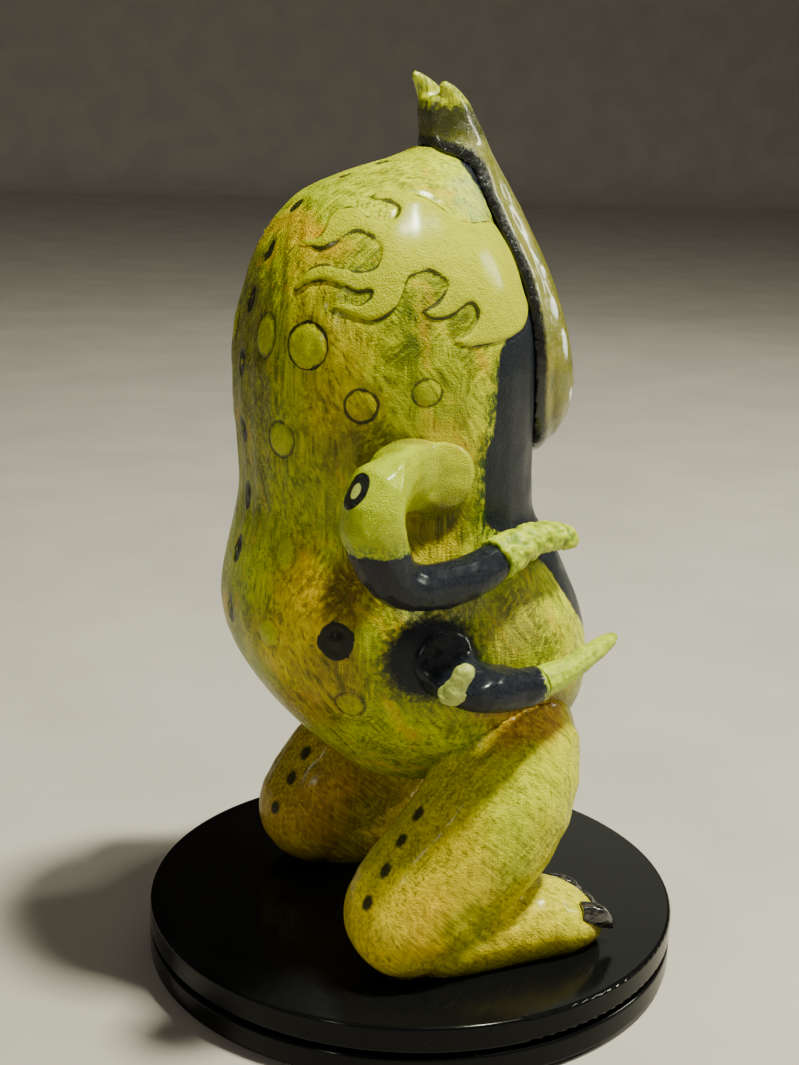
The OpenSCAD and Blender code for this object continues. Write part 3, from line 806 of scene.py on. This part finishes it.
def make_body():
    """Paints both halves as one skin and closes each by itself; returns the unpainted whole as a tree."""
    rows, grid = body_grid()
    count = grid.shape[1]
    extra = len(CAP_RINGS)
    whole = Skin(*closed_part(grid))
    tree = BVHTree.FromPolygons(whole.points.tolist(), whole.faces)
    paint_body(whole)
    material = body_paint()

    def in_rings(values):
        """Values at the whole skin's points, ring by ring, without the caps' middles."""
        return values[:-2].reshape((-1, count, *values.shape[1:]))

    cut = int(np.searchsorted(rows, WAIST[2])) + extra
    parts = (("body_lower", slice(extra, cut + 1), "lower_body", "torso_shell", (0, WAIST_DISH)),
             ("body_upper", slice(cut, len(grid) + extra), "upper_body", "head_shell", (WAIST_DISH, 0)))
    for name, kept, body, node, dishes in parts:
        rings = in_rings(whole.points)[kept]
        skin = Skin(*closed_part(rings, *dishes))
        skin.rims = [range(k * count, (k + 1) * count) for k in (extra, len(rings) + extra - 1)]

        def spread(values):
            """The kept rings' values, carried on over the caps."""
            v = in_rings(values)[kept]
            stack = np.concatenate([v[:1]] * extra + [v] + [v[-1:]] * extra)
            return np.concatenate([stack.reshape((-1, *v.shape[2:])), v[0][:1], v[-1][:1]])

        skin.values = {k: spread(v) for k, v in whole.values.items()}
        skin.colours = {k: spread(v) for k, v in whole.colours.items()}
        skin.build(name, material, body, [node], "painted_vinyl")
    return tree


# ---- arms, legs and small parts

LEFT_ARM_RAISE = math.radians(50)


def paint_wash(skin, washes, base, root, shade=(1, 1, 1)):
    """A limb's own washes, going over into the body's where the root amount is one, times a painted shade.
    """
    p = skin.points
    own = washed(p, p[:, [0, 2]], washes, base)
    under = washed(p, pattern(p), WASHES, OLIVE)
    skin.colours = {"wash": (own + (under - own) * root[:, None]) * np.array(shade)}


def arm_skin(node, shoulder, tree, flare, lean, stands, sunk):
    """An arm from its CAD node, its root spread out and sinking into the body along the lean."""
    root_ends, root_full = 13, 10
    skin = outer_skin(node, 0.45, 6)
    p = skin.points
    sign = np.sign(p[:, 1].mean())
    around = p[:, [0, 2]] - shoulder[[0, 2]]
    apart = np.hypot(around[:, 0], around[:, 1])
    near = smoothstep(apart, root_ends, root_full)
    height = height_over(p, tree)
    along = around @ np.array([math.cos(lean), math.sin(lean)])
    share = 0.88 * smoothstep(along, stands, sunk)
    sink = np.maximum(4.4 * smoothstep(height, 7.5, 2.5), np.maximum(height, 0) * share) * near
    p[:, 1] -= sign * sink
    towards = np.clip(along / np.maximum(apart, 1), 0, 1)
    fading = np.exp(-np.maximum(height - sink, 0) / 2.2)
    spread = (1.5 + flare * towards) * fading * near * smoothstep(apart, 1.5, 5)
    p[:, [0, 2]] += around / np.maximum(apart, 1)[:, None] * spread[:, None]
    skin.smooth(10)
    return skin


# The upper arm's ringed spot: its centre on the right arm, the way it faces, its long axis, radius and width
ARM_SPOT = np.array([-35.0, -41.7, 121.9])
ARM_SPOT_FACING = unit((-0.55, -0.7, 0.45))
ARM_SPOT_LONG = unit((0.55, 0.1, 0.83))
ARM_SPOT_RADIUS, ARM_SPOT_WIDTH = 1.7, 0.62
ARM_NAVY_TOP = 109.4
UPPER_ARM_WASHES = [
    ((-26, 120), (12, 8), (0.48, 0.56, 0), 1), ((-27, 111), (8, 5), (0.44, 0.5, 0), 0.9),
    ((-16, 120), (6, 6), (0.4, 0.45, 0), 0.9), ((-9, 114), (5, 8), (0.3, 0.28, 0), 0.9),
    ((-17, 108), (6, 4), (0.34, 0.26, 0.01), 0.8), ((-34.5, 116), (3, 9), GREEN_LIME, 0.7)]


def paint_upper_arm(skin, tree):
    p = skin.points
    gap = on_right(p) - ARM_SPOT
    flat_gap = gap - (gap @ ARM_SPOT_FACING)[:, None] * ARM_SPOT_FACING
    along = flat_gap @ ARM_SPOT_LONG
    across = flat_gap @ np.cross(ARM_SPOT_FACING, ARM_SPOT_LONG)
    spot = np.hypot(across / ARM_SPOT_WIDTH, along) - ARM_SPOT_RADIUS
    spot = np.where(gap @ ARM_SPOT_FACING > -4, spot, FAR)
    boundary = ARM_NAVY_TOP + 0.6 * noise(p, 4, 5)
    navy = np.where(p[:, 0] > -12, np.minimum(p[:, 2] - 112, 3), p[:, 2] - boundary)
    navy = np.where((p[:, 0] > -16) & (p[:, 2] > 108), FAR, navy)
    skin.values = {"spot": spot, "navy": np.clip(navy, -FAR, FAR)}
    root = smoothstep(height_over(p, tree), 5.0, 1.0) * smoothstep(p[:, 0], -27, -20)
    paint_wash(skin, UPPER_ARM_WASHES, LIME, root)
    slimmer_forearm = -0.55 * smoothstep(p[:, 2], 114, 108) * smoothstep(p[:, 0], 6, 0)
    skin.push(slimmer_forearm)
    groove = 0.15 * np.exp(-(navy / 0.6) ** 2)
    skin.push(0.25 * noise(p, 6, 11) + 0.12 * noise(p, 2.2, 12) - groove)


def paint_lower_arm(skin):
    """Navy, with lime from just before the sculpted tip."""
    p = skin.points
    navy = np.where(p[:, 0] > 5.0, (p[:, 0] - 6.6) * 0.9, -5.0)
    skin.values = {"spot": np.full(len(p), FAR), "navy": navy}
    skin.colours = {"wash": np.repeat(np.array([(0.55, 0.62, 0.05)]), len(p), 0)}
    skin.push(0.3 * noise(p, 5, 13) + 0.14 * noise(p, 1.8, 14))


def paint_tip(skin, start, roughness, chalk=0.0):
    """Coarse sculpting, with its hollows, the navy left at its start and a chalky share."""
    p = skin.points
    height = 0.7 * noise(p, 1.7, 21) + 0.5 * noise(p, 0.8, 22)
    from_start = np.hypot(*(p - start)[:, [0, 2]].T)
    skin.values = {"hollow": height * min(roughness * 2.5, 1.0), "navy": from_start - 1.2,
                   "chalk": np.full(len(p), chalk)}
    skin.push(height * roughness)


# The spur takes no navy at its start, so its start is moved this far off.
SPUR_APART = 9.0
SPUR_BASE_Z, SPUR_TIP_Z = 79.4, 86.4
SPUR_BINS = 11


def shape_spur(skin):
    """Widens the spur about its own middle line, most at its two ends."""
    p = skin.points
    t = np.clip((p[:, 2] - SPUR_BASE_Z) / (SPUR_TIP_Z - SPUR_BASE_Z), 0, 1)
    edges = np.linspace(0, 1, SPUR_BINS + 1)
    cell = np.clip(np.digitize(t, edges) - 1, 0, SPUR_BINS - 1)
    middle = np.array([p[cell == k].mean(0) if (cell == k).any() else p.mean(0) for k in range(SPUR_BINS)])
    at = (edges[:-1] + edges[1:]) / 2
    axis = np.stack([np.interp(t, at, middle[:, k]) for k in range(3)], 1)
    width = 1.12 + 0.35 * (2 * np.abs(t - 0.5)) ** 2
    skin.points = axis + (p - axis) * width[:, None]


# The left leg's wash is made browner and darker than the right one's: painted shade for the far leg, which
# lies in the body's shadow.
LEG_PAINTED_SHADE = {"right": (1, 1, 1), "left": (0.66, 0.52, 0.6)}

# Dark dots up the back of each shin, with both legs' places given on the right side
LEG_SPOTS = {
    "right": [(-14.8, -29.5, 49.3), (-18.9, -30.6, 44.7), (-22.9, -32.0, 39.4), (-26.8, -32.3, 32.9)],
    "left": [(-19.9, -23.0, 42.2), (-23.7, -22.4, 36.7), (-27.5, -22.9, 29.6)]}
LEG_SPOT_LEAN = math.radians(32)
LEG_SPOT_RADIUS, LEG_SPOT_LENGTH = 1.25, 1.45
LEG_WASHES = [
    ((10, 56), (14, 8), LIME, 0.9), ((8, 67.5), (12, 5.5), (0.36, 0.17, 0), 0.95),
    ((18, 48), (8, 10), (0.52, 0.54, 0), 0.8), ((2, 44), (8, 9), GREEN_LIME, 0.7),
    ((-10, 40), (9, 9), OCHRE, 0.8), ((-16, 30), (8, 9), ORANGE, 0.75),
    ((-26, 26), (6, 10), (0.72, 0.54, 0), 0.9), ((-8, 26), (7, 7), OLIVE, 0.7),
    ((-17, 16), (8, 3), (0.44, 0.33, 0), 0.9), ((0, 20), (7, 6), OCHRE, 0.8),
    ((10, 22), (8, 6), (0.62, 0.5, 0), 0.85), ((20, 23), (6, 5), (0.6, 0.54, 0), 0.9),
    ((16, 18), (3, 3), BROWN, 0.5), ((25, 17), (4, 4), (0.3, 0.2, 0.03), 0.7)]


def paint_leg(skin, side, tree):
    p = skin.points
    nearest = np.full(len(p), FAR)
    for place in LEG_SPOTS[side]:
        gap = on_right(p) - np.array(place)
        along = gap[:, 0] * math.sin(LEG_SPOT_LEAN) + gap[:, 2] * math.cos(LEG_SPOT_LEAN)
        across = gap[:, 0] * math.cos(LEG_SPOT_LEAN) - gap[:, 2] * math.sin(LEG_SPOT_LEAN)
        d = np.sqrt((along / LEG_SPOT_LENGTH) ** 2 + across**2 + gap[:, 1] ** 2) - LEG_SPOT_RADIUS
        nearest = np.minimum(nearest, d)
    skin.values = {"spot": nearest}
    root = smoothstep(height_over(p, tree), 3.0, 0.0)
    # The left leg's wash is darkened here by painted shade.
    paint_wash(skin, LEG_WASHES, (0.52, 0.46, 0), root, LEG_PAINTED_SHADE[side])
    above_floor = smoothstep(p[:, 2], FLOOR_Z, FLOOR_Z + 3)
    skin.push((0.35 * noise(p, 9, 31) + 0.15 * noise(p, 3, 32)) * above_floor)
    skin.points[:, 2] = np.maximum(skin.points[:, 2], FLOOR_Z)


def leg_skin(node, tree):
    """A leg from its CAD node, filled out where it meets the body."""
    skin = outer_skin(node, 0.6, 26)
    height = height_over(skin.points, tree)
    skin.push(1.7 * np.exp(-np.maximum(height, 0) / 2.5) * smoothstep(height, -6, -2))
    sole = skin.points[:, 2] < FLOOR_Z + 0.6
    skin.points[sole, 2] = FLOOR_Z
    return skin


# White marks on the shield: place on its right half, half width, half height
SHIELD_MARKS = [
    ((17, -13.4, 156.6), 0.8, 1.9), ((18.8, -15.2, 149.3), 1.1, 3), ((21.4, -15.9, 142.2), 1.3, 3.5),
    ((24.4, -15, 131), 1.1, 2.2), ((24.5, -8.5, 151.5), 1.2, 2.4), ((28, -8, 139), 1.5, 3)]
SHIELD_RIM_REACH = 12.0
HORN_TIP_PAINT_Z = 188.5


def paint_shield(skin, head_tree):
    p = skin.points
    rim = np.zeros(len(p))
    for k, place in enumerate(p):
        _, _, _, gap = head_tree.find_nearest(Vector(place), SHIELD_RIM_REACH)
        rim[k] = SHIELD_RIM_REACH if gap is None else gap
    mark = np.full(len(p), FAR)
    for place, wide, tall in SHIELD_MARKS:
        gap = on_right(p) - np.array(place)
        across = np.hypot(gap[:, 0], gap[:, 1])
        mark = np.minimum(mark, (np.hypot(across / wide, gap[:, 2] / tall) - 1) * wide)
    skin.values = {"spot": mark, "rim": rim, "tip": HORN_TIP_PAINT_Z - p[:, 2]}
    bead = 0.5 * np.exp(-((rim - 2.0) / 1.2) ** 2) - 0.4 * np.exp(-((rim - 4.2) / 0.9) ** 2)
    below_horn = smoothstep(p[:, 2], 184, 178)
    ridges = 0.18 * np.sin(p[:, 1] * 1.7 + 2 * noise(p, 8, 52)) * smoothstep(p[:, 2], 178, 186)
    lumps = 0.3 * noise(p, 8, 51) + 0.12 * noise(p, 2.6, 53)
    skin.push(bead * below_horn + ridges + lumps + 0.25 * smoothstep(mark, 0.3, -0.6))


def left_copy(skin, raised):
    """The mirror of a right-side skin, turned up about the shoulder by an angle."""
    copy = Skin(skin.points * np.array([1, -1, 1]), [f[::-1] for f in skin.faces])
    gap = copy.points[:, [0, 2]] - UPPER_SHOULDER[[0, 2]]
    c, s = math.cos(raised), math.sin(raised)
    copy.points[:, 0] = UPPER_SHOULDER[0] + gap[:, 0] * c - gap[:, 1] * s
    copy.points[:, 2] = UPPER_SHOULDER[2] + gap[:, 0] * s + gap[:, 1] * c
    copy.values, copy.colours = skin.values, skin.colours
    return copy


def make_arms(tree):
    arms, tips = arm_paint(), tip_paint()
    upper = arm_skin("upper_arm_right", UPPER_SHOULDER, tree, 4.0, math.radians(-10), -15, 4)
    paint_upper_arm(upper, tree)
    lower = arm_skin("lower_arm_right", LOWER_SHOULDER, tree, 2.0, math.radians(110), -2, 3.5)
    paint_lower_arm(lower)
    pieces = [("upper_arm", upper, arms, "upper_arm", "navy_vinyl"),
              ("lower_arm", lower, arms, "lower_arm", "navy_vinyl")]
    for stem, body, relief in (("upper_arm_tip", "upper_arm", 0.45), ("lower_arm_tip", "lower_arm", 0.16),
                               ("arm_spur", "lower_arm", 0.2)):
        skin = outer_skin(f"{stem}_right", 0.25, 4)
        start = skin.points[skin.points[:, 0].argmin()]
        if stem == "upper_arm_tip":
            skin.push(np.full(len(skin.points), 0.5))
        if stem == "arm_spur":
            shape_spur(skin)
            paint_tip(skin, start - SPUR_APART, relief, 0.8)
        else:
            paint_tip(skin, start, relief)
        pieces.append((stem, skin, tips, body, "yellow_tip"))
    for stem, skin, material, body, slot in pieces:
        skin.build(f"{stem}_skin_right", material, f"right_{body}", [f"{stem}_right"], slot)
        raised = LEFT_ARM_RAISE if body == "upper_arm" else 0.0
        left_copy(skin, raised).build(f"{stem}_skin_left", material, f"left_{body}", [f"{stem}_left"], slot)


def make_legs(tree):
    legs, claws = leg_paint(), claw_paint()
    for side in ("right", "left"):
        leg = leg_skin(f"leg_{side}", tree)
        paint_leg(leg, side, tree)
        leg.build(f"leg_skin_{side}", legs, "lower_body", [f"leg_{side}"], "painted_vinyl")
        for k, (points, faces) in enumerate(shells(*remeshed(f"toe_claws_{side}", 0.25))):
            replaced = [f"toe_claws_{side}"] if k == 0 else []
            claw = Skin(points, faces)
            claw.smooth(5)
            claw.push(0.1 * noise(claw.points, 1.2, 41))
            claw.build(f"claw_{side}_{k + 1}", claws, "lower_body", replaced, "claw_gloss")


def make_shield():
    points, faces = node_mesh("head_shell")
    skin = outer_skin("face_plate", 0.5, 12)
    paint_shield(skin, BVHTree.FromPolygons(points.tolist(), faces))
    skin.build("shield_skin", shield_paint(), "upper_body", ["face_plate"], "shield_vinyl")


def finish_stand():
    """The stand's CAD parts keep their shape and get their finishes."""
    steel = plain_paint("bearing_steel", 1, STEELS, (0.22, 0.34), (0.3, 2), 0.01, 1)
    cage = plain_paint("cage_plastic", 2, CREAMS, (0.5, 0.5), (0.4, 2), 0.02)
    rubber = plain_paint("pad_rubber", 0.8, BLACKS, (0.75, 0.75), (0.3, 3), 0.05)
    bearing = ("bearing_upper_ring", "bearing_lower_ring", "bearing_balls", "platter_screws", "base_screws")
    finishes = ((black_gloss(), ("platter", "base_disc")), (steel, bearing), (cage, ("ball_cage",)),
                (rubber, ("rubber_pads",)))
    for material, nodes in finishes:
        for node in nodes:
            data = frame["nodes"][node].data
            data.materials.clear()
            data.materials.append(material)


# ---- studio

FLOOR_SIZE, FLOOR_ROWS = 3.0, 24

# The floor's rows go on to this many times its flat part, and curve up over the rest.
FLOOR_LENGTH = 1.4
FLOOR_TURN = math.radians(-23.6)
SKY, SKY_STRENGTH = (1.0, 0.93, 0.82, 1), 0.09
WARM = (0.96, 1.0, 0.76)
CHEST = (0, 0, 0.12)

# Lights: name, place, width, height, power
LIGHTS = [("key", (0.22, -0.23, 0.95), 0.09, 0.09, 20), ("front", (0.85, -0.12, 0.5), 0.08, 0.25, 4.4),
          ("side", (-0.7, -0.5, 0.45), 0.06, 0.2, 1.1), ("back", (0.5, 0.8, 0.5), 0.4, 0.6, 0.6)]


def make_studio():
    """A paper floor that curves up behind the figure, and a dim warm sky."""
    rows = []
    for k in range(FLOOR_ROWS + 1):
        t = k / FLOOR_ROWS * FLOOR_LENGTH
        rows.append((FLOOR_SIZE * (2 * min(t, 1.0) - 1), max(0.0, t - 1.0) ** 1.5 * 9.0))
    points = [(x * FLOOR_SIZE, y, z) for y, z in rows for x in (-1.2, 1.2)]
    faces = [(2 * k, 2 * k + 1, 2 * k + 3, 2 * k + 2) for k in range(FLOOR_ROWS)]
    mesh = bpy.data.meshes.new("floor")
    mesh.from_pydata(points, [], faces)
    mesh.shade_smooth()
    s = Shader("floor_paper")
    paper = s.lay((0.43, 0.385, 0.365), s.noise(60), 0.3, 0.7, (0.48, 0.43, 0.405))
    s.set(colour=paper, roughness=0.8)
    mesh.materials.append(s.material)
    floor = linked("floor", mesh)
    floor.rotation_euler = (0, 0, FLOOR_TURN)

    world = bpy.data.worlds.new("studio")
    world.use_nodes = True
    background = world.node_tree.nodes["Background"]
    background.inputs["Color"].default_value = SKY
    background.inputs["Strength"].default_value = SKY_STRENGTH
    bpy.context.scene.world = world


def make_lights():
    for name, place, width, height, power in LIGHTS:
        data = bpy.data.lights.new(name, "AREA")
        data.shape = "RECTANGLE"
        data.size = width
        data.size_y = height
        data.energy = power
        data.color = WARM
        light = linked(name, data)
        light.location = place
        light.rotation_euler = (Vector(CHEST) - Vector(place)).to_track_quat("-Z", "Y").to_euler()


def make_camera():
    """The camera stands to the figure's right and behind, a little above it, rolled by a degree."""
    data = bpy.data.cameras.new("camera")
    data.sensor_width = 36
    data.lens = 53.78
    data.clip_start = 0.01
    camera = linked("camera", data)
    place = Vector((-0.13867, -0.3057, 0.19064))
    right = Vector((0.9185, -0.3947, 0.0238)).normalized()
    up = Vector((0.0839, 0.2534, 0.9637))
    back = right.cross(up).normalized()
    up = back.cross(right)
    camera.matrix_world = Matrix.Translation(place) @ Matrix((right, up, back)).transposed().to_4x4()
    bpy.context.scene.camera = camera


make_camera()
make_studio()
make_lights()
body_tree = make_body()
make_shield()
make_arms(body_tree)
make_legs(body_tree)
finish_stand()
